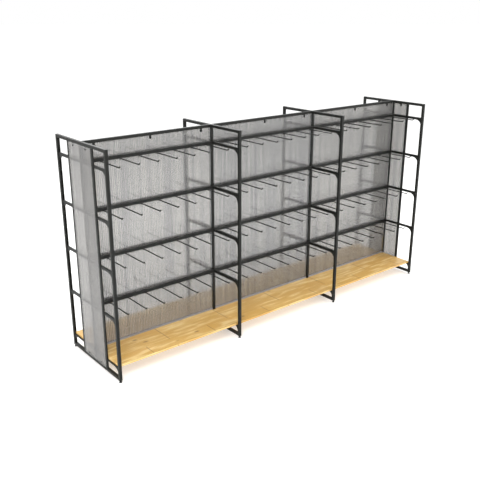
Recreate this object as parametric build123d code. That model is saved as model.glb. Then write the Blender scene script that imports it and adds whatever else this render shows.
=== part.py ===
from build123d import *
import os

# A free-standing, double-sided hook rack of three bays: four welded steel side frames, fluted
# polycarbonate sheets down the middle and in both ends, rails with wire hooks, and a plank shelf.
# Millimetres. X runs along the rack, -Y is the front, +Z is up. The origin is on the floor, in
# the middle of the rack.

# Overall size
HEIGHT = 1900
DEPTH = 820
BAY_COUNT = 3
BAY_PITCH = 1235
LEVEL_COUNT = 4
LOWEST_LEVEL = 543
LEVEL_PITCH = 400

# Steel tube
TUBE = 25
WALL = 1.5
CORNER_RADIUS = 2.5
SLIM_TUBE = 15
CENTRE_POST_DEPTH = 40
BEARER_HEIGHT = 12
GUSSET_RADIUS = 60
GUSSET_INSET = 0.5

# Side frames
POST_BOTTOM = 18
INNER_POST_Y = 195.5
SLOT_PITCH = 100
SLOT_START = 180
SLOT_LENGTH = 30
SLOT_WIDTH = 8
SMALL_SLOT_LENGTH = 10
SMALL_SLOT_WIDTH = 6
SMALL_SLOT_DROPS = (35, 60)
CAP_HEIGHT = 12
CAP_RECESS = 0.5

# Hook rails and hooks
RAIL_Y = 27.5
HOOKS_PER_RAIL = 7
FIRST_HOOK_X = -473
HOOK_PITCH = 171
WIRE_RADIUS = 5
HOOK_GAP = 0.3
HOOK_ARM_DROP = 12
HOOK_BEND_Y = -322
HOOK_TIP_Y = -337
HOOK_TIP_RISE = 14
HOOK_BEND_RADIUS = 8
STRAP_WIDTH = 16
STRAP_THICKNESS = 1.5
STRAP_FRONT_DROP = 19
STRAP_BACK_DROP = 6
STRAP_BEND_RADIUS = 1.8
SCREW_RADIUS = 4
SCREW_HOLE_RADIUS = 4.2
PLUG_LENGTH = 20
PLUG_GAP = 0.2

# Polycarbonate sheets
WALL_SHEET = 10
WALL_SKIN = 0.8
WALL_FLUTE_PITCH = 16
END_SHEET = 4
END_SKIN = 0.6
END_FLUTE_PITCH = 12
END_SHEET_RECESS = 0.5
SHEET_GAP = 1
PROFILE_WIDTH = 20
PROFILE_HEIGHT = 14
PROFILE_WALL = 1.5

# Tabs and bolts that hold the sheets
TAB_WIDTH = 20
TAB_LENGTH = 30
TAB_THICKNESS = 3
TAB_BOLT_DROP = 20
WALL_TAB_OFFSET = 508
END_TAB_Y = 103
BOLT_RADIUS = 3
BOLT_HOLE_RADIUS = 3.3
BOLT_HEAD_RADIUS = 6.8
BOLT_HEAD_HEIGHT = 3.3
NUT_RADIUS = 5.5
NUT_HEIGHT = 5

# Shelf
BOARD_THICKNESS = 18
BOARD_GAP = 0.5
BOARD_TOP = 146
BOARD_END_INSET = 3

# Levelling feet
PAD_RADIUS = 13
PAD_HEIGHT = 7
PAD_EDGE = 1.5
STEM_RADIUS = 5
STEM_TOP = 48
LOCKNUT_RADIUS = 8.5
LOCKNUT_HEIGHT = 6
INSERT_HEIGHT = 25
FIT_GAP = 0.05
FOOT_GAP = 0.3

# Worked out from the sizes above
half_tube = TUBE / 2
half_slim = SLIM_TUBE / 2
half_centre = CENTRE_POST_DEPTH / 2
half_depth = DEPTH / 2
post_inner_y = half_depth - TUBE
rail_bottom = HEIGHT - TUBE
base_top = POST_BOTTOM + TUBE
board_bottom = BOARD_TOP - BOARD_THICKNESS
levels = [LOWEST_LEVEL + LEVEL_PITCH * number for number in range(LEVEL_COUNT)]
frame_x = [(number - BAY_COUNT / 2) * BAY_PITCH for number in range(BAY_COUNT + 1)]
last_frame = BAY_COUNT
both_sides = (-1, 1)

os.makedirs("parts", exist_ok=True)


def save(name, solids):
    export_step(Compound(label=name, children=list(solids)), f"parts/{name}.step")


def block(x, y, z):
    """A box from its low and high X, Y and Z."""
    size = (x[1] - x[0], y[1] - y[0], z[1] - z[0])
    middle = ((x[0] + x[1]) / 2, (y[0] + y[1]) / 2, (z[0] + z[1]) / 2)
    return Pos(*middle) * Box(*size)


def tube(x, y, z, axis):
    """A rectangular steel tube with rounded corners, open along one axis."""
    spans = {"X": x, "Y": y, "Z": z}
    middle = [(span[0] + span[1]) / 2 for span in (x, y, z)]
    width, height, length = {
        "X": (y, z, x),
        "Y": (z, x, y),
        "Z": (x, y, z),
    }[axis]
    width, height, length = (span[1] - span[0] for span in (width, height, length))
    direction = {"X": (1, 0, 0), "Y": (0, 1, 0), "Z": (0, 0, 1)}[axis]
    across = {"X": (0, 1, 0), "Y": (0, 0, 1), "Z": (1, 0, 0)}[axis]
    plane = Plane(origin=middle, x_dir=across, z_dir=direction)
    outline = RectangleRounded(width, height, CORNER_RADIUS)
    bore = RectangleRounded(width - 2 * WALL, height - 2 * WALL, CORNER_RADIUS - WALL)
    return extrude(plane * (outline - bore), amount=length / 2, both=True)


def rod(radius, start, end):
    """A round bar between two points."""
    start, end = Vector(*start), Vector(*end)
    plane = Plane(origin=start, z_dir=end - start)
    return extrude(plane * Circle(radius), amount=(end - start).length)


def half_width(number):
    """Half the X width of a frame's arms: slim in the two end frames."""
    return half_slim if number in (0, last_frame) else half_tube


def outward(number):
    """The X direction that points out of the rack at an end frame."""
    return -1 if number == 0 else 1


# --- Side frames ---------------------------------------------------------------------------


def outer_post(number, side):
    """A corner post, slotted down the face that looks at the middle of the rack."""
    x = (frame_x[number] - half_tube, frame_x[number] + half_tube)
    y = sorted((side * post_inner_y, side * half_depth))
    post = tube(x, y, (POST_BOTTOM, HEIGHT), "Z")
    slot_count = int((rail_bottom - SLOT_LENGTH - SLOT_START) // SLOT_PITCH) + 1
    inner_face = side * post_inner_y
    for slot in range(slot_count):
        z = SLOT_START + SLOT_PITCH * slot
        centre = Pos(frame_x[number], inner_face, z)
        post -= centre * Box(SLOT_WIDTH, 3 * WALL, SLOT_LENGTH)
    return post


def centre_post(number):
    """The post that the wall sheets and the arms meet, with two small slots under each arm."""
    half_x = half_width(number)
    x = (frame_x[number] - half_x, frame_x[number] + half_x)
    post = tube(x, (-half_centre, half_centre), (base_top, rail_bottom), "Z")
    for level in levels:
        for drop in SMALL_SLOT_DROPS:
            for side in both_sides:
                z = level - drop
                centre = Pos(frame_x[number], side * half_centre, z)
                post -= centre * Box(SMALL_SLOT_WIDTH, 3 * WALL, SMALL_SLOT_LENGTH)
    return post


def inner_post(number, side):
    """An end frame's sheet post, flush with the outside of the frame."""
    outer_x = frame_x[number] + outward(number) * half_tube
    x = sorted((outer_x, outer_x - outward(number) * SLIM_TUBE))
    y = (side * INNER_POST_Y - half_tube, side * INNER_POST_Y + half_tube)
    return tube(x, y, (base_top, rail_bottom), "Z")


def cross_rail(number, z):
    x = (frame_x[number] - half_tube, frame_x[number] + half_tube)
    return tube(x, (-post_inner_y, post_inner_y), z, "Y")


def arm_spans(number, side):
    """The low and high Y of each stretch of arm on one side of the middle."""
    stops = [half_centre, post_inner_y]
    if number in (0, last_frame):
        stops = [half_centre, INNER_POST_Y - half_tube, INNER_POST_Y + half_tube, post_inner_y]
    pairs = [(stops[i], stops[i + 1]) for i in range(0, len(stops), 2)]
    return [tuple(sorted((side * near, side * far))) for near, far in pairs]


def gusset(number, side, z):
    """A web with a hollow curve, in the corner under an arm where it meets a corner post."""
    corner_y = side * post_inner_y
    radius = GUSSET_RADIUS
    plane = Plane(origin=(frame_x[number], corner_y, z), x_dir=(0, -side, 0), z_dir=(-side, 0, 0))
    square = Pos(radius / 2, -radius / 2) * Rectangle(radius, radius)
    hollow = Pos(radius, -radius) * Circle(radius)
    half_thickness = half_width(number) - GUSSET_INSET
    return extrude(plane * (square - hollow), amount=half_thickness, both=True)


def arms(number):
    """Every arm, shelf bearer and gusset of one frame, each its own welded piece."""
    half_x = half_width(number)
    x = (frame_x[number] - half_x, frame_x[number] + half_x)
    pieces = []
    for side in both_sides:
        for y in arm_spans(number, side):
            for level in levels:
                arm = tube(x, y, (level - half_tube, level + half_tube), "Y")
                hole_y = side * RAIL_Y
                if y[0] < hole_y < y[1]:
                    hole = (x[0] - 1, hole_y, level), (x[1] + 1, hole_y, level)
                    arm -= rod(SCREW_HOLE_RADIUS, *hole)
                pieces.append(arm)
            pieces.append(tube(x, y, (board_bottom - BEARER_HEIGHT, board_bottom), "Y"))
        for level in levels:
            pieces.append(gusset(number, side, level - half_tube))
        pieces.append(gusset(number, side, board_bottom - BEARER_HEIGHT))
    return pieces


def post_caps():
    """Plastic plugs in the tops of the corner posts."""
    half = half_tube - WALL
    caps = []
    for x in frame_x:
        for side in both_sides:
            y = side * (half_depth - half_tube)
            z = (HEIGHT - CAP_HEIGHT, HEIGHT - CAP_RECESS)
            cap = block((x - half, x + half), (y - half, y + half), z)
            caps.append(fillet(cap.edges().filter_by(Axis.Z), CORNER_RADIUS - WALL))
    return caps


# --- Beams, rails and hooks ----------------------------------------------------------------


def bay_ends(bay, start_gap, end_gap):
    return frame_x[bay] + start_gap, frame_x[bay + 1] - end_gap


def top_beam(bay):
    x = bay_ends(bay, half_tube, half_tube)
    return tube(x, (-half_tube, half_tube), (rail_bottom, HEIGHT), "X")


def rail_span(bay):
    return bay_ends(bay, half_width(bay), half_width(bay + 1))


def hook_rail(bay, side, level):
    y = (side * RAIL_Y - half_tube, side * RAIL_Y + half_tube)
    return tube(rail_span(bay), y, (level - half_tube, level + half_tube), "X")


def rail_plugs():
    """Threaded plugs in both ends of every rail."""
    half = half_tube - WALL
    plugs = []
    for bay in range(BAY_COUNT):
        low, high = rail_span(bay)
        for end, inward in ((low, 1), (high, -1)):
            x = sorted((end + inward * PLUG_GAP, end + inward * PLUG_LENGTH))
            for side in both_sides:
                for level in levels:
                    y = side * RAIL_Y
                    plug = block(x, (y - half, y + half), (level - half, level + half))
                    plug = fillet(plug.edges().filter_by(Axis.X), CORNER_RADIUS - WALL)
                    plug -= rod(SCREW_RADIUS, (x[0] - 1, y, level), (x[1] + 1, y, level))
                    plugs.append(plug)
    return plugs


def rail_screws():
    """Studs that go through an arm into the rails on both sides of it."""
    studs = []
    for number, x in enumerate(frame_x):
        reach = half_width(number) + PLUG_LENGTH
        low = x - (half_slim if number == 0 else reach)
        high = x + (half_slim if number == last_frame else reach)
        for side in both_sides:
            for level in levels:
                ends = (low, side * RAIL_Y, level), (high, side * RAIL_Y, level)
                studs.append(rod(SCREW_RADIUS, *ends))
    return studs


def saddle():
    """A folded strap that hangs over a front rail centred at Z 0."""
    inner = half_tube + HOOK_GAP
    outer = inner + STRAP_THICKNESS
    x = (-STRAP_WIDTH / 2, STRAP_WIDTH / 2)
    past_x = (x[0] - 1, x[1] + 1)
    front, back = -RAIL_Y - outer, -RAIL_Y + outer
    strap = block(x, (front, back), (-STRAP_FRONT_DROP, outer))
    top_edges = strap.edges().filter_by(Axis.X).group_by(Axis.Z)[-1]
    strap = fillet(top_edges, STRAP_BEND_RADIUS)
    strap -= block(past_x, (-RAIL_Y - inner, -RAIL_Y + inner), (-STRAP_FRONT_DROP - 1, inner))
    strap -= block(past_x, (-RAIL_Y, back + 1), (-STRAP_FRONT_DROP - 1, -STRAP_BACK_DROP))
    return strap


def hook():
    """One hook for a front rail centred at Z 0: a saddle, and a wire arm with a raised tip."""
    start_y = -RAIL_Y - half_tube - HOOK_GAP - STRAP_THICKNESS
    route = FilletPolyline(
        (0, start_y, -HOOK_ARM_DROP),
        (0, HOOK_BEND_Y, -HOOK_ARM_DROP),
        (0, HOOK_TIP_Y, -HOOK_ARM_DROP + HOOK_TIP_RISE),
        radius=HOOK_BEND_RADIUS,
    )
    section = Plane(origin=route @ 0, z_dir=route % 0) * Circle(WIRE_RADIUS)
    return [saddle(), sweep(section, path=route)]


def hook_row(pieces, side, level):
    """The hooks of all three bays on one side at one level."""
    turn = 0 if side < 0 else 180
    offsets = [FIRST_HOOK_X + HOOK_PITCH * number for number in range(HOOKS_PER_RAIL)]
    row = []
    for bay in range(BAY_COUNT):
        middle = (frame_x[bay] + frame_x[bay + 1]) / 2
        for offset in offsets:
            x = middle - side * offset
            place = Pos(x, 0, level) * Rot(0, 0, turn)
            row += [place * piece for piece in pieces]
    return row


# --- Polycarbonate sheets ------------------------------------------------------------------


def fluted_section(width, thickness, skin, pitch):
    """The section of a twin-wall sheet: two skins joined by ribs."""
    count = int((width - skin) // pitch)
    start = -(count - 1) * pitch / 2
    section = Rectangle(width, thickness)
    flute = Rectangle(pitch - skin, thickness - 2 * skin)
    flutes = [Pos(start + pitch * number, 0) * flute for number in range(count)]
    return section - flutes


def wall_sheet(bay):
    low, high = bay_ends(bay, half_width(bay) + SHEET_GAP, half_width(bay + 1) + SHEET_GAP)
    bottom = BOARD_TOP + PROFILE_WALL
    top = rail_bottom - SHEET_GAP
    section = fluted_section(high - low, WALL_SHEET, WALL_SKIN, WALL_FLUTE_PITCH)
    sheet = Pos((low + high) / 2, 0, bottom) * extrude(section, amount=top - bottom)
    for x in wall_tab_x(bay):
        z = rail_bottom - TAB_BOLT_DROP
        sheet -= rod(BOLT_HOLE_RADIUS, (x, -WALL_SHEET, z), (x, WALL_SHEET, z))
    return sheet


def sheet_foot(bay):
    """The channel that the wall sheet stands in, on the two shelf boards."""
    x = bay_ends(bay, half_width(bay) + SHEET_GAP, half_width(bay + 1) + SHEET_GAP)
    z = (BOARD_TOP, BOARD_TOP + PROFILE_HEIGHT)
    channel = block(x, (-PROFILE_WIDTH / 2, PROFILE_WIDTH / 2), z)
    inside = (-WALL_SHEET / 2, WALL_SHEET / 2)
    return channel - block(x, inside, (z[0] + PROFILE_WALL, z[1]))


def end_sheet_x(number):
    """The outer and inner X of an end sheet."""
    outer = frame_x[number] + outward(number) * (half_tube - END_SHEET_RECESS)
    return outer, outer - outward(number) * END_SHEET


def end_bolt_places():
    places = []
    for side in both_sides:
        for z in (rail_bottom - TAB_BOLT_DROP, base_top + TAB_BOLT_DROP):
            places.append((side * END_TAB_Y, z))
    return places


def end_sheet(number):
    outer, inner = end_sheet_x(number)
    width = 2 * (INNER_POST_Y - half_tube - SHEET_GAP)
    section = Rot(0, 0, 90) * fluted_section(width, END_SHEET, END_SKIN, END_FLUTE_PITCH)
    bottom = base_top + SHEET_GAP
    top = rail_bottom - SHEET_GAP
    sheet = Pos((outer + inner) / 2, 0, bottom) * extrude(section, amount=top - bottom)
    for y, z in end_bolt_places():
        sheet -= rod(BOLT_HOLE_RADIUS, (outer, y, z), (inner, y, z))
    return sheet


# --- Tabs, bolts and nuts ------------------------------------------------------------------


def wall_tab_x(bay):
    middle = (frame_x[bay] + frame_x[bay + 1]) / 2
    return [middle + WALL_TAB_OFFSET * step for step in (-1, 0, 1)]


def tab():
    """A tab in the XZ plane: square edge at the origin, round end and bolt hole below it."""
    radius = TAB_WIDTH / 2
    square_part = TAB_LENGTH - radius
    outline = Pos(0, -square_part / 2) * Rectangle(TAB_WIDTH, square_part)
    outline += Pos(0, -square_part) * Circle(radius)
    outline -= Pos(0, -TAB_BOLT_DROP) * Circle(BOLT_HOLE_RADIUS)
    return extrude(Plane.XZ * outline, amount=TAB_THICKNESS)


def panel_tabs():
    """Steel tabs: three under each top beam, four in each end frame."""
    plate = tab()
    tabs = []
    for bay in range(BAY_COUNT):
        for x in wall_tab_x(bay):
            tabs.append(Pos(x, -WALL_SHEET / 2, rail_bottom) * plate)
    for number in (0, last_frame):
        inner = end_sheet_x(number)[1]
        turn = 90 if number == 0 else -90
        for side in both_sides:
            upper = Pos(inner, side * END_TAB_Y, rail_bottom) * Rot(0, 0, turn)
            lower = Pos(inner, side * END_TAB_Y, base_top) * Rot(180, 0, 0) * Rot(0, 0, turn)
            tabs.append(upper * plate)
            tabs.append(lower * plate)
    return tabs


def bolt(head, tail, grip):
    """A button-head bolt and its nut. head and tail point along the bolt, grip is what it clamps."""
    start, end = Vector(*head), Vector(*tail)
    along = (end - start).normalized()
    grip_end = start + along * grip
    shank_end = grip_end + along * (NUT_HEIGHT + 1)
    body = rod(BOLT_HEAD_RADIUS, start - along * BOLT_HEAD_HEIGHT, start)
    body += rod(BOLT_RADIUS, start, shank_end)
    nut_plane = Plane(origin=grip_end, z_dir=along)
    nut_outline = RegularPolygon(NUT_RADIUS, 6) - Circle(BOLT_RADIUS)
    return [body, extrude(nut_plane * nut_outline, amount=NUT_HEIGHT)]


def panel_bolts():
    pieces = []
    grip = WALL_SHEET + TAB_THICKNESS
    face = -WALL_SHEET / 2 - TAB_THICKNESS
    for bay in range(BAY_COUNT):
        for x in wall_tab_x(bay):
            z = rail_bottom - TAB_BOLT_DROP
            pieces += bolt((x, face, z), (x, -face, z), grip)
    grip = END_SHEET + TAB_THICKNESS
    for number in (0, last_frame):
        outer, inner = end_sheet_x(number)
        for y, z in end_bolt_places():
            pieces += bolt((outer, y, z), (inner, y, z), grip)
    return pieces


# --- Shelf ---------------------------------------------------------------------------------


def shelf_boards(bay):
    """The front and the back board of one bay, notched round the centre posts."""
    start_gap = BOARD_END_INSET if bay == 0 else BOARD_GAP
    end_gap = BOARD_END_INSET if bay == BAY_COUNT - 1 else BOARD_GAP
    x = bay_ends(bay, start_gap, end_gap)
    z = (board_bottom, BOARD_TOP)
    notch_y = half_centre + BOARD_GAP
    boards = []
    for side in both_sides:
        board = block(x, sorted((side * BOARD_GAP, side * (post_inner_y - BOARD_GAP))), z)
        for number in (bay, bay + 1):
            notch_x = half_width(number) + BOARD_GAP
            post_x = (frame_x[number] - notch_x, frame_x[number] + notch_x)
            board -= block(post_x, (-notch_y, notch_y), z)
        boards.append(board)
    return boards


# --- Levelling feet ------------------------------------------------------------------------


def foot(number, side):
    """A pad, its threaded stem and the locknut on it."""
    x = frame_x[number]
    y = side * (half_depth - half_tube)
    pad = Pos(x, y, PAD_HEIGHT / 2) * Cylinder(PAD_RADIUS, PAD_HEIGHT)
    pad = chamfer(pad.edges().group_by(Axis.Z)[-1], PAD_EDGE)
    stem = rod(STEM_RADIUS, (x, y, PAD_HEIGHT), (x, y, STEM_TOP))
    nut_top = POST_BOTTOM - FOOT_GAP
    nut_plane = Plane(origin=(x, y, nut_top - LOCKNUT_HEIGHT))
    nut_outline = RegularPolygon(LOCKNUT_RADIUS, 6) - Circle(STEM_RADIUS)
    return [pad, stem, extrude(nut_plane * nut_outline, amount=LOCKNUT_HEIGHT)]


def foot_inserts():
    """Threaded blocks in the bottom ends of the corner posts."""
    half = half_tube - WALL
    inserts = []
    for x in frame_x:
        for side in both_sides:
            y = side * (half_depth - half_tube)
            z = (POST_BOTTOM, POST_BOTTOM + INSERT_HEIGHT)
            insert = block((x - half, x + half), (y - half, y + half), z)
            insert = fillet(insert.edges().filter_by(Axis.Z), CORNER_RADIUS - WALL)
            insert -= rod(STEM_RADIUS + FIT_GAP, (x, y, z[0] - 1), (x, y, z[1] + 1))
            inserts.append(insert)
    return inserts


# --- Write every part ----------------------------------------------------------------------

for number in range(BAY_COUNT + 1):
    place = number + 1
    for side, face in ((-1, "front"), (1, "back")):
        save(f"{face}_post_{place}", [outer_post(number, side)])
        save(f"levelling_foot_{face}_{place}", foot(number, side))
    middle_posts = [centre_post(number)]
    post_name = f"centre_post_{place}"
    if number in (0, last_frame):
        middle_posts += [inner_post(number, side) for side in both_sides]
        post_name = f"inner_posts_{place}"
    save(post_name, middle_posts)
    save(f"top_rail_{place}", [cross_rail(number, (rail_bottom, HEIGHT))])
    save(f"base_rail_{place}", [cross_rail(number, (POST_BOTTOM, base_top))])
    save(f"arms_{place}", arms(number))

for bay in range(BAY_COUNT):
    place = bay + 1
    save(f"wall_sheet_{place}", [wall_sheet(bay)])
    save(f"shelf_boards_{place}", shelf_boards(bay))

hook_pieces = hook()
for index, level in enumerate(levels):
    place = index + 1
    rails = [hook_rail(bay, side, level) for bay in range(BAY_COUNT) for side in both_sides]
    save(f"hook_rails_{place}", rails)
    for side, face in ((-1, "front"), (1, "back")):
        save(f"hooks_{face}_{place}", hook_row(hook_pieces, side, level))

save("end_sheet_left", [end_sheet(0)])
save("end_sheet_right", [end_sheet(last_frame)])
save("top_beams", [top_beam(bay) for bay in range(BAY_COUNT)])
save("sheet_feet", [sheet_foot(bay) for bay in range(BAY_COUNT)])
save("panel_tabs", panel_tabs())
save("panel_bolts", panel_bolts())
save("rail_plugs", rail_plugs())
save("rail_screws", rail_screws())
save("post_caps", post_caps())
save("foot_inserts", foot_inserts())
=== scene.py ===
"""Looks of a free-standing, double-sided hook rack: powder-coated tube frames, frosted fluted sheets,
rails with wire hooks and an edge-glued timber shelf. Every size is in metres unless its name says mm."""

import math

import bmesh
import bpy
from mathutils import Matrix, Vector


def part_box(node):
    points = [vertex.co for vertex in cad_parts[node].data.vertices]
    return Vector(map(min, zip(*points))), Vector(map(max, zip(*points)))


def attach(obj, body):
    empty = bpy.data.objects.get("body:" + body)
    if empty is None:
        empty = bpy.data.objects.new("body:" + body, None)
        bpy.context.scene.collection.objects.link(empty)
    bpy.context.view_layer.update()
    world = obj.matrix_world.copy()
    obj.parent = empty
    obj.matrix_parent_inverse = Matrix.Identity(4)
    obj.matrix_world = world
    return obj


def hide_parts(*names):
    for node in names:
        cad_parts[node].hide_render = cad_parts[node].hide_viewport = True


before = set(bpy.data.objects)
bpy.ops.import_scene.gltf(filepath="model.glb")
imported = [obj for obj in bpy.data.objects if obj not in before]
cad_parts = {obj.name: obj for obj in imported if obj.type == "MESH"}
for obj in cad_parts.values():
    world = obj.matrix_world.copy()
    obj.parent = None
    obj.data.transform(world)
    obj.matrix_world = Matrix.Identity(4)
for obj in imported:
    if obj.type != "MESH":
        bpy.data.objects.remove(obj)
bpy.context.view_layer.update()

bl_info = {
    "name": "Hook Rack",
    "version": (1, 0, 0),
    "blender": (4, 5, 0),
    "location": "3D View > Sidebar > Hook Rack",
    "description": "Makes the pieces and finishes of a free-standing hook rack",
    "category": "Object",
}

MM = 0.001
BAYS = 3
LEVELS = 4
FACES = {"front": -1, "back": 1}
RACK = "rack"
FLOOR_REACH = 400.0
# Soft boxes: name, where it stands, its width, and its power as a share of the key's.
SOFT_BOXES = (
    ("key_soft_box", (-4.2, -3.6, 5.2), 2.4, 1.0),
    ("fill_soft_box", (5.5, -4.0, 3.5), 4.0, 0.7),
    ("back_soft_box", (1.5, 4.2, 5.6), 3.0, 1.5),
)
# Where the sheets' bolts stand: along each bay from its middle, and across the ends from theirs.
WALL_BOLTS = (-508 * MM, 0.0, 508 * MM)
END_BOLTS = (-103 * MM, 103 * MM)
# Thickness of the tabs that the bolts go through.
TAB = 3 * MM
# Play between a foot's locknut and the post above it.
NUT_GAP = 0.3 * MM


def linear(hex_colour):
    """An sRGB hex colour as linear red, green, blue and alpha."""
    channels = [int(hex_colour[i : i + 2], 16) / 255 for i in (1, 3, 5)]
    curve = [c / 12.92 if c <= 0.04045 else ((c + 0.055) / 1.055) ** 2.4 for c in channels]
    return (*curve, 1.0)


def middle(node):
    """The middle of a CAD node's box."""
    low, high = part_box(node)
    return (low + high) / 2


# The CAD's own places: side frames along the rack, hook levels, and how far out tubes and rails lie.
FRAME_X = [middle(f"front_post_{number}").x for number in range(1, BAYS + 2)]
LEVEL_Z = [middle(f"hook_rails_{number}").z for number in range(1, LEVELS + 1)]
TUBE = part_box("front_post_1")[1].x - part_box("front_post_1")[0].x
POST_Y = abs(middle("front_post_1").y)
RAIL_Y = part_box("hook_rails_1")[1].y - TUBE / 2
CENTRE_POST_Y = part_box("centre_post_2")[1].y
RACK_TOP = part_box("top_beams")[1].z


# --- Settings ------------------------------------------------------------------------------


def length(name, description, default_mm):
    return bpy.props.FloatProperty(
        name=name, description=description, default=default_mm * MM, min=0.0, unit="LENGTH", precision=4
    )


def colour(name, description, hex_colour):
    return bpy.props.FloatVectorProperty(
        name=name, description=description, default=linear(hex_colour), size=4, min=0.0, max=1.0,
        subtype="COLOR",
    )


class RackFinishes(bpy.types.PropertyGroup):
    """Colours of the rack's finishes."""

    powder: colour("Powder coat", "Anthracite powder coat on tubes and hooks", "#191A18")
    powder_light: colour("Powder coat, thin", "The same coat where it lies thinner", "#20211F")
    sheet: colour("Sheet", "Frosted polycarbonate", "#E1DFDB")
    sheet_rib: colour("Sheet ribs", "The same sheet along its ribs", "#B4B5B8")
    wood: colour("Pine", "Pale staves of the shelf", "#DDB871")
    wood_warm: colour("Pine, warm", "Warmer staves of the shelf", "#CDA053")
    wood_pale: colour("Pine streaks", "Pale streaks of early wood", "#F0D69A")
    wood_grain: colour("Pine grain", "Late wood lines", "#B98A42")
    wood_knot: colour("Pine knots", "Knots and glue lines", "#8A5E2C")
    channel: colour("Channel", "Anodised aluminium channel", "#A7A9B4")
    zinc: colour("Black zinc", "Plated bolts, nuts and foot stems", "#151616")
    rubber: colour("Foot pad", "Moulded foot pads and tube plugs", "#1E1F1F")
    floor: colour("Floor", "Opal acrylic of the light table", "#DADAD9")


class HookSizes(bpy.types.PropertyGroup):
    """Sizes of one wire hook."""

    wire: length("Wire", "Radius of the hook's wire", 5.0)
    gap: length("Gap", "Play between the saddle and its rail", 0.3)
    strap: length("Strap", "Thickness of the saddle's strap", 1.5)
    strap_width: length("Strap width", "Width of the saddle's strap", 16.0)
    strap_bend: length("Strap bend", "Radius of the strap's middle line at its folds", 1.05)
    front_leg: length("Front leg", "How far the strap hangs below the rail's middle in front", 19.0)
    back_leg: length("Back leg", "How far the strap hangs below the rail's middle behind", 6.0)
    arm_drop: length("Arm drop", "How far the arm lies below the rail's middle", 12.0)
    bend_reach: length("Bend reach", "Where the tip starts to rise, from the rack's middle", 322.0)
    tip_reach: length("Tip reach", "Where the tip ends, from the rack's middle", 337.0)
    tip_rise: length("Tip rise", "How far the tip rises above the arm", 14.0)
    bend_radius: length("Bend radius", "Radius of the wire's bends", 8.0)
    pitch: length("Pitch", "Distance between hooks", 171.0)
    first: length("First hook", "Distance of the first hook from the middle of its bay", 473.0)
    per_rail: bpy.props.IntProperty(name="Hooks", description="Hooks on one rail", default=7, min=1)


class SheetSizes(bpy.types.PropertyGroup):
    """Sizes of the fluted sheets."""

    wall_pitch: length("Wall pitch", "Distance between the ribs of the middle sheets", 16.0)
    end_pitch: length("End pitch", "Distance between the ribs of the end sheets", 12.0)


class ShelfSizes(bpy.types.PropertyGroup):
    """Sizes of the shelf's boards."""

    edge: length("Edge", "Radius of the boards' eased edges", 1.6)
    gap: length("Gap", "Play round the centre posts and between the boards", 0.5)
    stave_width: length("Stave width", "Width of one glued stave", 126.0)
    joint: length("Joint", "Width of a butt joint's line", 4.0)
    stave_length: length("Stave length", "Length of one glued stave", 640.0)


class FixingSizes(bpy.types.PropertyGroup):
    """Sizes of bolts, nuts, welds and feet."""

    head: length("Head", "Radius of a bolt head", 6.8)
    head_height: length("Head height", "Height of a bolt head", 3.3)
    socket: length("Socket", "Half width of the hexagon socket", 2.0)
    nut: length("Nut", "Corner radius of a nut", 5.5)
    nut_height: length("Nut height", "Height of a nut", 5.0)
    bolt: length("Bolt", "Radius of a bolt's end", 3.0)
    locknut: length("Locknut", "Corner radius of a foot's locknut", 8.5)
    locknut_height: length("Locknut height", "Height of a foot's locknut", 6.0)
    weld: length("Weld", "Radius of a weld bead", 1.8)
    pad: length("Foot pad", "Radius of a foot pad", 13.0)
    pad_height: length("Foot pad height", "Height of a foot pad", 7.0)
    stem: length("Stem", "Radius of a foot's stem", 5.0)
    stem_pitch: length("Thread", "Pitch of the stem's thread", 1.5)


class StudioSettings(bpy.types.PropertyGroup):
    """Camera and light."""

    focal_mm: bpy.props.FloatProperty(
        name="Lens", description="Focal length in millimetres on a 36 mm wide sensor", default=50.48
    )
    heading: bpy.props.FloatProperty(
        name="Heading", description="Camera's turn from the rack's depth", default=math.radians(39.107),
        subtype="ANGLE",
    )
    tilt: bpy.props.FloatProperty(
        name="Tilt", description="Camera's downward tilt", default=math.radians(19.23), subtype="ANGLE"
    )
    stand: bpy.props.FloatVectorProperty(
        name="Stand", description="Where the camera stands", default=(-4.1010, -4.6882, 2.8719),
        subtype="TRANSLATION", unit="LENGTH",
    )
    sky: bpy.props.FloatProperty(name="Sky", description="Strength of the all-round light", default=1.0)
    key: bpy.props.FloatProperty(name="Key", description="Power of the main soft box", default=250.0)


# --- Mesh helpers --------------------------------------------------------------------------


def around(sides):
    """Angles spread evenly round a circle."""
    return [2 * math.pi * side / sides for side in range(sides)]


def ring_surface(bm, rings):
    """Joins rings of points into one closed skin, with a fan over each end."""
    rows = [[bm.verts.new(point) for point in ring] for ring in rings]
    count = len(rows[0])
    for near, far in zip(rows, rows[1:]):
        for i in range(count):
            j = (i + 1) % count
            bm.faces.new((near[i], near[j], far[j], far[i]))
    for row, flip in ((rows[0], True), (rows[-1], False)):
        centre = sum((vert.co for vert in row), Vector()) / count
        tip = bm.verts.new(centre)
        for i in range(count):
            j = (i + 1) % count
            corners = (tip, row[j], row[i]) if flip else (tip, row[i], row[j])
            bm.faces.new(corners)


def turned(bm, profile, place, sides=24):
    """A turned shape: profile is a list of (radius, height), a radius may be a function of angle."""
    rings = []
    for radius, height in profile:
        ring = []
        for angle in around(sides):
            r = radius(angle) if callable(radius) else radius
            ring.append(place @ Vector((r * math.cos(angle), r * math.sin(angle), height)))
        rings.append(ring)
    ring_surface(bm, rings)


def hexagon(flat_radius):
    """The radius of a hexagon, as a function of angle, from half its width across flats."""
    sixth = math.pi / 3
    return lambda angle: flat_radius / math.cos((angle % sixth) - sixth / 2)


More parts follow.
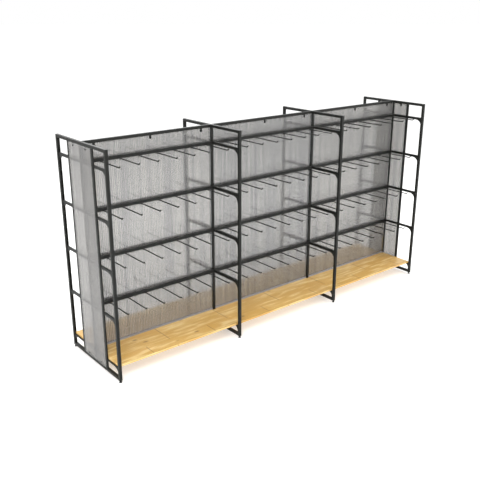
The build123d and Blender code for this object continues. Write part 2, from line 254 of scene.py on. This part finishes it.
def rounded_route(corners, radius, steps=6):
    """A route through corners in the YZ plane, with an arc at each inner corner."""
    route = [corners[0]]
    for before, corner, after in zip(corners, corners[1:], corners[2:]):
        into = (before - corner).normalized()
        out = (after - corner).normalized()
        half = into.angle(out) / 2
        reach = radius / math.tan(half)
        centre = corner + (into + out).normalized() * radius / math.sin(half)
        start = corner + into * reach - centre
        end = corner + out * reach - centre
        for step in range(steps + 1):
            share = step / steps
            spoke = start.lerp(end, share).normalized() * radius
            route.append(centre + spoke)
    route.append(corners[-1])
    return route


def wire_rings(route, radius, sides=14, dome_steps=4):
    """Rings of a round wire along a route in the YZ plane, with domed ends."""
    across = Vector((1, 0, 0))
    stations = []
    last = len(route) - 1
    for i, point in enumerate(route):
        along = (route[min(i + 1, last)] - route[max(i - 1, 0)]).normalized()
        stations.append((point, along, radius))

    def dome(point, along):
        steps = [math.pi / 2 * step / (dome_steps + 1) for step in range(1, dome_steps + 1)]
        foot = point - along * radius
        return [(foot + along * radius * math.sin(t), along, radius * math.cos(t)) for t in steps]

    start, end = stations[0], stations[-1]
    near = [(p, -a, r) for p, a, r in reversed(dome(start[0], -start[1]))]
    far = dome(end[0], end[1])
    stations[0] = (start[0] + start[1] * radius, start[1], radius)
    stations[-1] = (end[0] - end[1] * radius, end[1], radius)
    rings = []
    for point, along, r in near + stations + far:
        side = across.cross(along)
        rings.append([point + (side * math.cos(t) + across * math.sin(t)) * r for t in around(sides)])
    return rings


def strap_rings(route, width, thickness):
    """Rings of a flat strap along a route in the YZ plane."""
    across = Vector((width / 2, 0, 0))
    last = len(route) - 1
    rings = []
    for i, point in enumerate(route):
        along = (route[min(i + 1, last)] - route[max(i - 1, 0)]).normalized()
        side = Vector((1, 0, 0)).cross(along) * thickness / 2
        top, bottom = point + side, point - side
        rings.append([top + across, top - across, bottom - across, bottom + across])
    return rings


def make_piece(name, bm, material, body, replaces=(), sharp_degrees=40):
    """Turns a bmesh into a piece that rides on a body."""
    bmesh.ops.recalc_face_normals(bm, faces=bm.faces)
    mesh = bpy.data.meshes.new(name)
    bm.to_mesh(mesh)
    bm.free()
    mesh.polygons.foreach_set("use_smooth", [True] * len(mesh.polygons))
    mesh.set_sharp_from_angle(angle=math.radians(sharp_degrees))
    mesh.materials.append(material)
    piece = bpy.data.objects.new(name, mesh)
    bpy.context.scene.collection.objects.link(piece)
    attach(piece, body)
    if replaces:
        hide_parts(*replaces)
    return piece


def finish_nodes(names, material):
    """Gives CAD nodes a better material."""
    for name in names:
        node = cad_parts[name]
        for slot in node.material_slots:
            slot.material = material


# --- Materials -----------------------------------------------------------------------------


def add_node(tree, kind, settings=None, sockets=None):
    """Adds a node, with its settings, its socket values and its links."""
    node = tree.nodes.new(kind)
    for name, value in (settings or {}).items():
        setattr(node, name, value)
    for name, value in (sockets or {}).items():
        socket = node.inputs[name]
        if isinstance(value, bpy.types.NodeSocket):
            tree.links.new(value, socket)
        else:
            socket.default_value = value
    return node


def new_material(name, **shader):
    """A material with a bare shader. Returns it, its tree, its shader and its place in metres."""
    material = bpy.data.materials.get(name)
    if material:
        return material, None, None, None
    material = bpy.data.materials.new(name)
    material.use_nodes = True
    tree = material.node_tree
    tree.nodes.clear()
    sockets = {key.replace("_", " "): value for key, value in shader.items()}
    bsdf = add_node(tree, "ShaderNodeBsdfPrincipled", sockets=sockets)
    add_node(tree, "ShaderNodeOutputMaterial", sockets={"Surface": bsdf.outputs["BSDF"]})
    place = add_node(tree, "ShaderNodeTexCoord").outputs["Object"]
    return material, tree, bsdf, place


def blend_colours(tree, share, first, second):
    """Mixes two colours, or sockets, by a share."""
    mix = add_node(tree, "ShaderNodeMix", {"data_type": "RGBA"})
    for index, value in ((0, share), (6, first), (7, second)):
        if isinstance(value, bpy.types.NodeSocket):
            tree.links.new(value, mix.inputs[index])
        else:
            mix.inputs[index].default_value = value
    return mix.outputs[2]


def shade(colour_value, share):
    """The same colour, darker or paler."""
    return [min(1.0, channel * share) for channel in colour_value[:3]] + [1.0]


def stretch(tree, place, scale):
    """Scales a place, so that a pattern is drawn out or pressed together."""
    return add_node(tree, "ShaderNodeMapping", sockets={"Vector": place, "Scale": scale}).outputs[0]


def spread(tree, value, low, high, to_low, to_high):
    """Maps a value from one range to another, clamped."""
    sockets = {"Value": value, "From Min": low, "From Max": high, "To Min": to_low, "To Max": to_high}
    return add_node(tree, "ShaderNodeMapRange", sockets=sockets).outputs["Result"]


def powder_coat():
    """Anthracite polyester powder coat, baked on steel: an even satin with a faint orange peel."""
    finishes = bpy.context.scene.rack_finishes
    material, tree, bsdf, place = new_material(
        "powder_coated_steel", Roughness=0.5, Specular_IOR_Level=0.18
    )
    if tree is None:
        return material
    # Orange peel is about 1 mm across. It is drawn at 4 mm so that it shows from a few metres.
    peel = add_node(tree, "ShaderNodeTexNoise", sockets={"Vector": place, "Scale": 1 / (4 * MM)})
    # The coat varies in thickness over about a hand's width, 90 mm.
    drift = add_node(
        tree, "ShaderNodeTexNoise", sockets={"Vector": place, "Scale": 1 / (90 * MM), "Detail": 3.0}
    )
    share = spread(tree, drift.outputs["Fac"], 0.35, 0.68, 0.0, 1.0)
    tint = blend_colours(tree, share, finishes.powder, finishes.powder_light)
    tree.links.new(tint, bsdf.inputs["Base Color"])
    gloss = spread(tree, peel.outputs["Fac"], 0.3, 0.7, 0.40, 0.54)
    tree.links.new(gloss, bsdf.inputs["Roughness"])
    bump = add_node(
        tree, "ShaderNodeBump",
        sockets={"Height": peel.outputs["Fac"], "Strength": 0.16, "Distance": 0.4 * MM},
    )
    tree.links.new(bump.outputs["Normal"], bsdf.inputs["Normal"])
    return material


def wave_scale(pitch):
    """The Scale of a banded wave texture whose bands are one pitch apart."""
    return math.pi / 10 / pitch


def frosted_polycarbonate(axis, pitch):
    """Extruded twin-wall polycarbonate with a frosted skin: it lets light through, blurs what is
    behind it more the further away it is, and shows its ribs as fine grey lines."""
    finishes = bpy.context.scene.rack_finishes
    material, tree, bsdf, place = new_material(
        f"frosted_twin_wall_{round(pitch / MM)}mm", Roughness=0.13, IOR=1.25, Transmission_Weight=0.86,
    )
    if tree is None:
        return material
    ribs = add_node(
        tree, "ShaderNodeTexWave", {"bands_direction": axis}, {"Vector": place, "Scale": wave_scale(pitch)}
    )
    # A rib is under 1 mm thick. It is drawn as about a third of the pitch so that it shows.
    rib = spread(tree, ribs.outputs["Fac"], 0.45, 0.9, 0.0, 1.0)
    # The die leaves lines up the sheet, about 40 mm apart, where the skin is a little thicker.
    lines = add_node(
        tree, "ShaderNodeTexNoise",
        sockets={
            "Vector": stretch(tree, place, (1 / (40 * MM), 1 / (40 * MM), 0.5)), "Scale": 1.0, "Detail": 2.0
        },
    )
    line = spread(tree, lines.outputs["Fac"], 0.4, 0.65, 0.0, 0.35)
    clouded = blend_colours(tree, line, finishes.sheet, finishes.sheet_rib)
    tint = blend_colours(tree, rib, clouded, finishes.sheet_rib)
    tree.links.new(tint, bsdf.inputs["Base Color"])
    bump = add_node(
        tree, "ShaderNodeBump",
        sockets={"Height": ribs.outputs["Fac"], "Strength": 0.05, "Distance": 0.4 * MM},
    )
    tree.links.new(bump.outputs["Normal"], bsdf.inputs["Normal"])
    return material


def glued_pine():
    """Edge-glued pine, sanded and clear-lacquered: staves of slightly different colour with long
    grain, a few knots and fine dark joints."""
    finishes = bpy.context.scene.rack_finishes
    sizes = bpy.context.scene.shelf_sizes
    material, tree, bsdf, place = new_material(
        "lacquered_glued_pine", Roughness=0.42, IOR=1.5, Coat_Weight=0.15, Coat_Roughness=0.25
    )
    if tree is None:
        return material
    # The depth is stretched ten times so that only the butt joints are wide enough to show.
    depth_stretch = 10
    staves = add_node(
        tree, "ShaderNodeTexBrick", {"offset": 0.37, "offset_frequency": 3, "squash": 1.0},
        {
            "Vector": stretch(tree, place, (1.0, depth_stretch, 1.0)), "Scale": 1.0,
            "Color1": (0, 0, 0, 1), "Color2": (1, 1, 1, 1), "Mortar": (0.5, 0.5, 0.5, 1),
            "Mortar Size": sizes.joint, "Mortar Smooth": 0.1, "Bias": 0.0,
            "Brick Width": sizes.stave_length, "Row Height": sizes.stave_width * depth_stretch,
        },
    )
    base = blend_colours(tree, staves.outputs["Color"], finishes.wood, finishes.wood_warm)
    # Growth rings show as long lines about 6 mm apart.
    grain = add_node(
        tree, "ShaderNodeTexWave", {"bands_direction": "Y"},
        {
            "Vector": stretch(tree, place, (0.12, 1.0, 1.0)), "Scale": wave_scale(6 * MM),
            "Distortion": 7.0, "Detail": 3.0, "Detail Scale": 0.6, "Detail Roughness": 0.6,
        },
    )
    lines = spread(tree, grain.outputs["Fac"], 0.4, 1.0, 0.0, 0.4)
    grained = blend_colours(tree, lines, base, finishes.wood_grain)
    # Early wood shows as pale streaks about 30 mm wide and a hand long, late wood as warm patches.
    streaks = add_node(
        tree, "ShaderNodeTexNoise",
        sockets={"Vector": stretch(tree, place, (4.5, 30.0, 30.0)), "Scale": 1.0, "Detail": 4.0},
    )
    streak = spread(tree, streaks.outputs["Fac"], 0.50, 0.66, 0.0, 0.6)
    streaked = blend_colours(tree, streak, grained, finishes.wood_pale)
    patch = spread(tree, streaks.outputs["Fac"], 0.46, 0.34, 0.0, 0.8)
    patched = blend_colours(tree, patch, streaked, finishes.wood_warm)
    # Knots have a dark core about 10 mm wide, are longer along the grain, and are at least a hand apart.
    knots = add_node(
        tree, "ShaderNodeTexVoronoi", {"voronoi_dimensions": "3D"},
        {"Vector": stretch(tree, place, (4.2, 8.0, 8.0)), "Scale": 1.0},
    )
    knot = spread(tree, knots.outputs["Distance"], 0.04, 0.14, 0.75, 0.0)
    knotted = blend_colours(tree, knot, patched, finishes.wood_knot)
    # A butt joint is a hair line. It is drawn wider so that it shows.
    joint = spread(tree, staves.outputs["Fac"], 0.0, 1.0, 0.0, 0.7)
    jointed = blend_colours(tree, joint, knotted, finishes.wood_knot)
    tree.links.new(jointed, bsdf.inputs["Base Color"])
    bump = add_node(
        tree, "ShaderNodeBump",
        sockets={"Height": grain.outputs["Fac"], "Strength": 0.12, "Distance": 0.3 * MM},
    )
    tree.links.new(bump.outputs["Normal"], bsdf.inputs["Normal"])
    return material


def anodised_channel():
    """Extruded aluminium, satin anodised: pale blue-grey with fine drawing lines along its length."""
    finishes = bpy.context.scene.rack_finishes
    material, tree, bsdf, place = new_material("anodised_aluminium_channel", Metallic=0.6, Roughness=0.5)
    if tree is None:
        return material
    # Drawing lines are under 0.1 mm. They are drawn 1.5 mm apart so that they show.
    lines = add_node(
        tree, "ShaderNodeTexNoise",
        sockets={"Vector": stretch(tree, place, (2.0, 1 / (1.5 * MM), 1 / (1.5 * MM))), "Scale": 1.0},
    )
    tint = blend_colours(tree, lines.outputs["Fac"], shade(finishes.channel, 0.85), finishes.channel)
    tree.links.new(tint, bsdf.inputs["Base Color"])
    tree.links.new(spread(tree, lines.outputs["Fac"], 0.3, 0.7, 0.42, 0.58), bsdf.inputs["Roughness"])
    return material


def black_zinc():
    """Turned and pressed steel, black zinc plated: dark, slightly mottled and half bright."""
    finishes = bpy.context.scene.rack_finishes
    material, tree, bsdf, place = new_material("black_zinc_steel", Metallic=0.9, Roughness=0.5)
    if tree is None:
        return material
    # The plating's mottling is about 2 mm across.
    spots = add_node(
        tree, "ShaderNodeTexNoise", sockets={"Vector": place, "Scale": 1 / (2 * MM), "Detail": 3.0}
    )
    tint = blend_colours(tree, spots.outputs["Fac"], finishes.zinc, shade(finishes.zinc, 1.8))
    tree.links.new(tint, bsdf.inputs["Base Color"])
    tree.links.new(spread(tree, spots.outputs["Fac"], 0.3, 0.7, 0.42, 0.58), bsdf.inputs["Roughness"])
    return material


def moulded_polyethylene():
    """Injection-moulded polyethylene with a spark-eroded grain: black, dull and slightly soft."""
    finishes = bpy.context.scene.rack_finishes
    material, tree, bsdf, place = new_material("moulded_polyethylene", Roughness=0.6, IOR=1.5)
    if tree is None:
        return material
    # The mould's grain is about 0.3 mm. It is drawn at 1.2 mm so that it shows.
    grain = add_node(tree, "ShaderNodeTexNoise", sockets={"Vector": place, "Scale": 1 / (1.2 * MM)})
    tint = blend_colours(tree, grain.outputs["Fac"], finishes.rubber, shade(finishes.rubber, 1.5))
    tree.links.new(tint, bsdf.inputs["Base Color"])
    bump = add_node(
        tree, "ShaderNodeBump",
        sockets={"Height": grain.outputs["Fac"], "Strength": 0.3, "Distance": 0.2 * MM},
    )
    tree.links.new(bump.outputs["Normal"], bsdf.inputs["Normal"])
    return material


def studio_floor():
    """Opal acrylic of a light table, lit from below: an even white with only a faint shadow."""
    finishes = bpy.context.scene.rack_finishes
    material, tree, bsdf, place = new_material(
        "backlit_opal_acrylic", Roughness=0.8, Emission_Color=(1.0, 1.0, 1.0, 1.0), Emission_Strength=0.42
    )
    if tree is None:
        return material
    # The sheet's light varies a little over more than a metre.
    cloud = add_node(tree, "ShaderNodeTexNoise", sockets={"Vector": place, "Scale": 0.6})
    tint = blend_colours(tree, cloud.outputs["Fac"], shade(finishes.floor, 0.985), finishes.floor)
    tree.links.new(tint, bsdf.inputs["Base Color"])
    return material


# --- Pieces --------------------------------------------------------------------------------


class RACK_OT_stage(bpy.types.Operator):
    """Makes the floor, the soft studio light and the camera"""

    bl_idname = "hook_rack.stage"
    bl_label = "Stage"

    def execute(self, context):
        studio = context.scene.studio_settings
        self.make_floor()
        self.make_light(context.scene, studio)
        self.make_camera(context.scene, studio)
        context.scene.view_settings.view_transform = "Standard"
        return {"FINISHED"}

    def make_floor(self):
        """A floor so wide that its far edge lies at the horizon."""
        bm = bmesh.new()
        bmesh.ops.create_grid(bm, x_segments=8, y_segments=8, size=FLOOR_REACH)
        mesh = bpy.data.meshes.new("studio_floor")
        bm.to_mesh(mesh)
        bm.free()
        mesh.materials.append(studio_floor())
        floor = bpy.data.objects.new("studio_floor", mesh)
        bpy.context.scene.collection.objects.link(floor)

    def make_light(self, scene, studio):
        """An even white sky and the soft boxes, aimed at the middle of the rack."""
        world = bpy.data.worlds.new("studio_sky")
        world.use_nodes = True
        sky = world.node_tree.nodes["Background"]
        sky.inputs["Color"].default_value = (1.0, 1.0, 1.0, 1.0)
        sky.inputs["Strength"].default_value = studio.sky
        scene.world = world
        aim = Vector((0, 0, RACK_TOP / 2))
        for name, place, size, share in SOFT_BOXES:
            lamp = bpy.data.lights.new(name, "AREA")
            lamp.size = size
            lamp.energy = studio.key * share
            box = bpy.data.objects.new(name, lamp)
            box.location = place
            box.visible_camera = False
            box.rotation_euler = (aim - Vector(place)).to_track_quat("-Z", "Y").to_euler()
            scene.collection.objects.link(box)

    def make_camera(self, scene, studio):
        """A camera off the rack's left front corner, a metre above its top."""
        data = bpy.data.cameras.new("camera")
        data.sensor_width = 36.0
        data.lens = studio.focal_mm
        data.clip_end = 100.0
        camera = bpy.data.objects.new("camera", data)
        camera.location = studio.stand
        camera.rotation_euler = (math.pi / 2 - studio.tilt, 0.0, -studio.heading)
        scene.collection.objects.link(camera)
        scene.camera = camera


class RACK_OT_frames(bpy.types.Operator):
    """Powder-coats the posts, arms, rails and beams"""

    bl_idname = "hook_rack.frames"
    bl_label = "Tube Frames"

    def execute(self, context):
        coated = (
            "front_post", "back_post", "centre_post", "inner_posts", "arms",
            "top_rail", "base_rail", "top_beams", "hook_rails", "panel_tabs",
        )
        names = [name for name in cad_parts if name.startswith(coated)]
        finish_nodes(names, powder_coat())
        return {"FINISHED"}


class RACK_OT_welds(bpy.types.Operator):
    """Lays a weld bead above and below each arm, where it meets its posts"""

    bl_idname = "hook_rack.welds"
    bl_label = "Weld Beads"

    def execute(self, context):
        radius = context.scene.fixing_sizes.weld
        for number, x in enumerate(FRAME_X, start=1):
            bm = bmesh.new()
            low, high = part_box(f"arms_{number}")
            half_width = (high.x - low.x) / 2 - MM
            for side in FACES.values():
                for level in LEVEL_Z:
                    for edge in (-TUBE / 2, TUBE / 2):
                        for y in (side * CENTRE_POST_Y, side * (POST_Y - TUBE / 2)):
                            self.bead(bm, x, y, level + edge, half_width, radius)
            make_piece(f"weld_beads_{number}", bm, powder_coat(), RACK)
        return {"FINISHED"}

    def bead(self, bm, x, y, z, half_width, radius):
        """A bead with the ripples of a hand-held torch, about 2.5 mm apart."""
        steps = 24
        sides = 8
        ripple_pitch = 2.5 * MM
        ripple_height = 0.12
        rings = []
        for step in range(steps + 1):
            share = step / steps
            along = -half_width + 2 * half_width * share
            taper = min(1.0, 6 * share, 6 * (1 - share)) ** 0.5
            ripple = 1 + ripple_height * math.sin(2 * math.pi * along / ripple_pitch)
            r = max(radius * taper * ripple, radius * 0.1)
            rings.append(
                [Vector((x + along, y + r * math.cos(t), z + r * math.sin(t))) for t in around(sides)]
            )
        ring_surface(bm, rings)


class RACK_OT_hooks(bpy.types.Operator):
    """Folds the hooks' saddles, bends their wire arms, and hangs a row of them on each rail"""

    bl_idname = "hook_rack.hooks"
    bl_label = "Wire Hooks"

    def execute(self, context):
        sizes = context.scene.hook_sizes
        skins = (self.saddle(sizes), self.arm(sizes), self.weld(sizes))
        for face, side in FACES.items():
            for index, level in enumerate(LEVEL_Z, start=1):
                bm = bmesh.new()
                turn = Matrix.Rotation(0 if side < 0 else math.pi, 4, "Z")
                for x in self.places(sizes, side):
                    place = Matrix.Translation((x, 0, level)) @ turn
                    for skin in skins:
                        ring_surface(bm, [[place @ point for point in ring] for ring in skin])
                node = f"hooks_{face}_{index}"
                make_piece(
                    f"wire_{node}", bm, powder_coat(), node, [node], sharp_degrees=50
                )
        return {"FINISHED"}

    def places(self, sizes, side):
        """Where the hooks of one row stand along the rack."""
        bays = [(start + end) / 2 for start, end in zip(FRAME_X, FRAME_X[1:])]
        offsets = [sizes.pitch * number - sizes.first for number in range(sizes.per_rail)]
        return [bay - side * offset for bay in bays for offset in offsets]

    def saddle(self, sizes):
        """The strap's skin for a front rail centred at Z 0."""
        reach = TUBE / 2 + sizes.gap + sizes.strap / 2
        corners = [
            (-RAIL_Y + reach, -sizes.back_leg), (-RAIL_Y + reach, reach),
            (-RAIL_Y - reach, reach), (-RAIL_Y - reach, -sizes.front_leg),
        ]
        route = rounded_route([Vector((0, y, z)) for y, z in corners], sizes.strap_bend)
        return strap_rings(route, sizes.strap_width, sizes.strap)

    def arm(self, sizes):
        """The wire's skin for a front rail centred at Z 0."""
        start = -RAIL_Y - TUBE / 2 - sizes.gap - sizes.strap / 2
        corners = [
            (start, -sizes.arm_drop),
            (-sizes.bend_reach, -sizes.arm_drop),
            (-sizes.tip_reach, -sizes.arm_drop + sizes.tip_rise),
        ]
        route = rounded_route([Vector((0, y, z)) for y, z in corners], sizes.bend_radius)
        return wire_rings(route, sizes.wire)

    def weld(self, sizes):
        """The fillet of weld round the wire where it meets its saddle."""
        face = -RAIL_Y - TUBE / 2 - sizes.gap - sizes.strap
        sides = 14
        # The fillet's outline: its radius as a share of the wire's, and how far out it stands.
        fillet = ((1.32, 0.0), (1.24, 0.5 * MM), (1.08, 1.2 * MM), (1.0, 1.7 * MM))
        rings = []
        for swell, out in fillet:
            r = sizes.wire * swell
            centre = Vector((0, face - out, -sizes.arm_drop))
            rings.append([centre + Vector((r * math.cos(t), 0, r * math.sin(t))) for t in around(sides)])
        return rings


class RACK_OT_sheets(bpy.types.Operator):
    """Frosts the fluted sheets in the middle and in both ends"""

    bl_idname = "hook_rack.sheets"
    bl_label = "Fluted Sheets"

    def execute(self, context):
        sizes = context.scene.sheet_sizes
        walls = [f"wall_sheet_{number}" for number in range(1, BAYS + 1)]
        finish_nodes(walls, frosted_polycarbonate("X", sizes.wall_pitch))
        finish_nodes(["end_sheet_left", "end_sheet_right"], frosted_polycarbonate("Y", sizes.end_pitch))
        finish_nodes(["sheet_feet"], anodised_channel())
        return {"FINISHED"}


class RACK_OT_bolts(bpy.types.Operator):
    """Makes the bolts and the nuts that hold the sheets to their tabs"""

    bl_idname = "hook_rack.bolts"
    bl_label = "Sheet Bolts"

    def execute(self, context):
        sizes = context.scene.fixing_sizes
        bm = bmesh.new()
        for head, nut, along in self.places(sizes):
            turn = along.to_track_quat("Z", "Y").to_matrix().to_4x4()
            self.head(bm, Matrix.Translation(head) @ turn, sizes)
            self.nut(bm, Matrix.Translation(nut) @ turn, sizes)
        make_piece(
            "sheet_bolts", bm, black_zinc(), RACK, ["panel_bolts"], sharp_degrees=30
        )
        return {"FINISHED"}

    def places(self, sizes):
        """For each bolt: where its head and nut bear, and the direction out of the head."""
        bolt_low, bolt_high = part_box("panel_bolts")
        upper = bolt_high.z - sizes.head
        lower = bolt_low.z + sizes.head
        sheet_low, sheet_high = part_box("wall_sheet_1")
        half_sheet = (sheet_high.y - sheet_low.y) / 2
        places = []
        for start, end in zip(FRAME_X, FRAME_X[1:]):
            for offset in WALL_BOLTS:
                x = (start + end) / 2 + offset
                head = Vector((x, -half_sheet - TAB, upper))
                places.append((head, Vector((x, half_sheet, upper)), Vector((0, -1, 0))))
        for side in ("left", "right"):
            low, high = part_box(f"end_sheet_{side}")
            outward = -1 if side == "left" else 1
            outer = low.x if outward < 0 else high.x
            inner = (high.x if outward < 0 else low.x) - outward * TAB
            for y in END_BOLTS:
                for z in (lower, upper):
                    places.append((Vector((outer, y, z)), Vector((inner, y, z)), Vector((outward, 0, 0))))
        return places

    def head(self, bm, place, sizes):
        """A domed head with a hexagon socket."""
        steps = 6
        rim = sizes.socket * 1.25
        profile = [(sizes.head, 0.0)]
        for step in range(steps + 1):
            angle = math.pi / 2 * step / steps
            radius = rim + (sizes.head - rim) * math.cos(angle)
            profile.append((radius, sizes.head_height * (0.15 + 0.85 * math.sin(angle))))
        socket = hexagon(sizes.socket)
        profile.append((socket, sizes.head_height * 0.97))
        profile.append((socket, sizes.head_height * 0.25))
        turned(bm, profile, place)

    def nut(self, bm, place, sizes):
        """A hexagon nut with chamfered corners, and the bolt's end standing out of it."""
        flat = sizes.nut * math.cos(math.pi / 6)
        sides = hexagon(flat)
        chamfer = 0.6 * MM

        def cut(angle):
            return min(sides(angle), flat * 1.03)

        end = sizes.bolt
        profile = [
            (cut, 0.0), (sides, -chamfer), (sides, -sizes.nut_height + chamfer), (cut, -sizes.nut_height),
            (end, -sizes.nut_height), (end, -sizes.nut_height - 0.7 * MM),
            (end * 0.8, -sizes.nut_height - MM),
        ]
        turned(bm, profile, place)


class RACK_OT_shelf(bpy.types.Operator):
    """Makes the glued boards of the shelf, notched round the centre posts, with eased edges"""

    bl_idname = "hook_rack.shelf"
    bl_label = "Shelf Boards"

    def execute(self, context):
        sizes = context.scene.shelf_sizes
        post_y = CENTRE_POST_Y + sizes.gap
        for number in range(1, BAYS + 1):
            node = f"shelf_boards_{number}"
            low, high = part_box(node)
            start = self.notch_x(number, 1, sizes)
            end = self.notch_x(number + 1, -1, sizes)
            for face, side in FACES.items():
                outline = [
                    (low.x, high.y), (high.x, high.y), (high.x, post_y), (end, post_y),
                    (end, sizes.gap), (start, sizes.gap), (start, post_y), (low.x, post_y),
                ]
                corners = [(x, side * y) for x, y in outline]
                bm = self.board(corners, low.z, high.z - low.z, sizes.edge)
                make_piece(f"board_{face}_{number}", bm, glued_pine(), RACK, [node])
        return {"FINISHED"}

    def notch_x(self, number, side, sizes):
        """Where the notch round a frame's centre post ends, on one side of it."""
        low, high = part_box(f"arms_{number}")
        return FRAME_X[number - 1] + side * ((high.x - low.x) / 2 + sizes.gap)

    def board(self, corners, bottom, thickness, edge):
        """A board with eased edges, from the corners of its outline."""
        bm = bmesh.new()
        face = bm.faces.new([bm.verts.new((x, y, bottom)) for x, y in corners])
        raised = bmesh.ops.extrude_face_region(bm, geom=[face])["geom"]
        top = [item for item in raised if isinstance(item, bmesh.types.BMVert)]
        bmesh.ops.translate(bm, vec=(0, 0, thickness), verts=top)
        bmesh.ops.recalc_face_normals(bm, faces=bm.faces)
        bmesh.ops.bevel(
            bm, geom=list(bm.edges), offset=edge, segments=4, profile=0.5, affect="EDGES",
            clamp_overlap=True,
        )
        return bm


class RACK_OT_feet(bpy.types.Operator):
    """Makes the levelling feet: a moulded pad, a threaded stem and a locknut each"""

    bl_idname = "hook_rack.feet"
    bl_label = "Levelling Feet"

    def execute(self, context):
        sizes = context.scene.fixing_sizes
        for number, x in enumerate(FRAME_X, start=1):
            for face, side in FACES.items():
                node = f"levelling_foot_{face}_{number}"
                place = Matrix.Translation((x, side * POST_Y, 0))
                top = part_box(node)[1].z
                pad = bmesh.new()
                self.pad(pad, place, sizes)
                stem = bmesh.new()
                self.stem(stem, place, sizes, top)
                self.locknut(stem, place, sizes)
                for name, bm, material in (
                    (f"pad_{face}_{number}", pad, moulded_polyethylene()),
                    (f"stem_{face}_{number}", stem, black_zinc()),
                ):
                    make_piece(name, bm, material, node, [node], sharp_degrees=30)
        return {"FINISHED"}

    def pad(self, bm, place, sizes):
        """A pad with a rounded tread and a raised boss, fluted for the fingers."""
        radius = sizes.pad
        height = sizes.pad_height

        flutes = 12
        flute_depth = 0.025

        def fluted(angle):
            return radius * (1 - flute_depth * (1 + math.cos(flutes * angle)) / 2)

        profile = [
            (radius * 0.90, 0.0), (radius * 0.97, 0.04 * height), (radius, 0.14 * height),
            (fluted, 0.24 * height), (fluted, 0.52 * height), (radius * 0.94, 0.66 * height),
            (radius * 0.80, 0.74 * height), (radius * 0.62, 0.78 * height), (radius * 0.56, height),
            (radius * 0.50, height),
        ]
        turned(bm, profile, place, sides=72)

    def stem(self, bm, place, sizes, top):
        """A stem whose thread is drawn as rings, at its real pitch."""
        profile = []
        pitch = sizes.stem_pitch
        depth = 0.6 * MM
        turns = int((top - sizes.pad_height) / pitch)
        for turn in range(turns):
            z = sizes.pad_height + turn * pitch
            profile += [(sizes.stem - depth, z), (sizes.stem, z + pitch / 2)]
        turned(bm, profile, place)

    def locknut(self, bm, place, sizes):
        """A hexagon locknut, just under the post."""
        flat = sizes.locknut * math.cos(math.pi / 6)
        sides = hexagon(flat)
        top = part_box("front_post_1")[0].z - NUT_GAP
        bottom = top - sizes.locknut_height
        chamfer = 0.8 * MM

        def cut(angle):
            return min(sides(angle), flat * 1.02)

        turned(bm, [(cut, bottom), (sides, bottom + chamfer), (sides, top - chamfer), (cut, top)], place)


class RACK_OT_fittings(bpy.types.Operator):
    """Finishes the plugs, studs and inserts inside the tubes"""

    bl_idname = "hook_rack.fittings"
    bl_label = "Tube Fittings"

    def execute(self, context):
        finish_nodes(["rail_plugs", "post_caps"], moulded_polyethylene())
        finish_nodes(["rail_screws", "foot_inserts"], black_zinc())
        return {"FINISHED"}


OPERATORS = (
    RACK_OT_stage, RACK_OT_frames, RACK_OT_welds, RACK_OT_hooks, RACK_OT_sheets,
    RACK_OT_bolts, RACK_OT_shelf, RACK_OT_feet, RACK_OT_fittings,
)


class RACK_PT_panel(bpy.types.Panel):
    """Lists the rack's pieces, in the order they are made"""

    bl_idname = "RACK_PT_panel"
    bl_label = "Hook Rack"
    bl_space_type = "VIEW_3D"
    bl_region_type = "UI"
    bl_category = "Hook Rack"

    def draw(self, context):
        for operator in OPERATORS:
            self.layout.operator(operator.bl_idname)


SETTINGS = {
    "rack_finishes": RackFinishes,
    "hook_sizes": HookSizes,
    "sheet_sizes": SheetSizes,
    "shelf_sizes": ShelfSizes,
    "fixing_sizes": FixingSizes,
    "studio_settings": StudioSettings,
}


def register():
    for group in SETTINGS.values():
        bpy.utils.register_class(group)
    for name, group in SETTINGS.items():
        setattr(bpy.types.Scene, name, bpy.props.PointerProperty(type=group))
    for operator in OPERATORS:
        bpy.utils.register_class(operator)
    bpy.utils.register_class(RACK_PT_panel)


def unregister():
    bpy.utils.unregister_class(RACK_PT_panel)
    for operator in reversed(OPERATORS):
        bpy.utils.unregister_class(operator)
    for name, group in SETTINGS.items():
        delattr(bpy.types.Scene, name)
        bpy.utils.unregister_class(group)


def main():
    register()
    for operator in OPERATORS:
        group, name = operator.bl_idname.split(".")
        getattr(getattr(bpy.ops, group), name)()


if __name__ == "__main__":
    main()
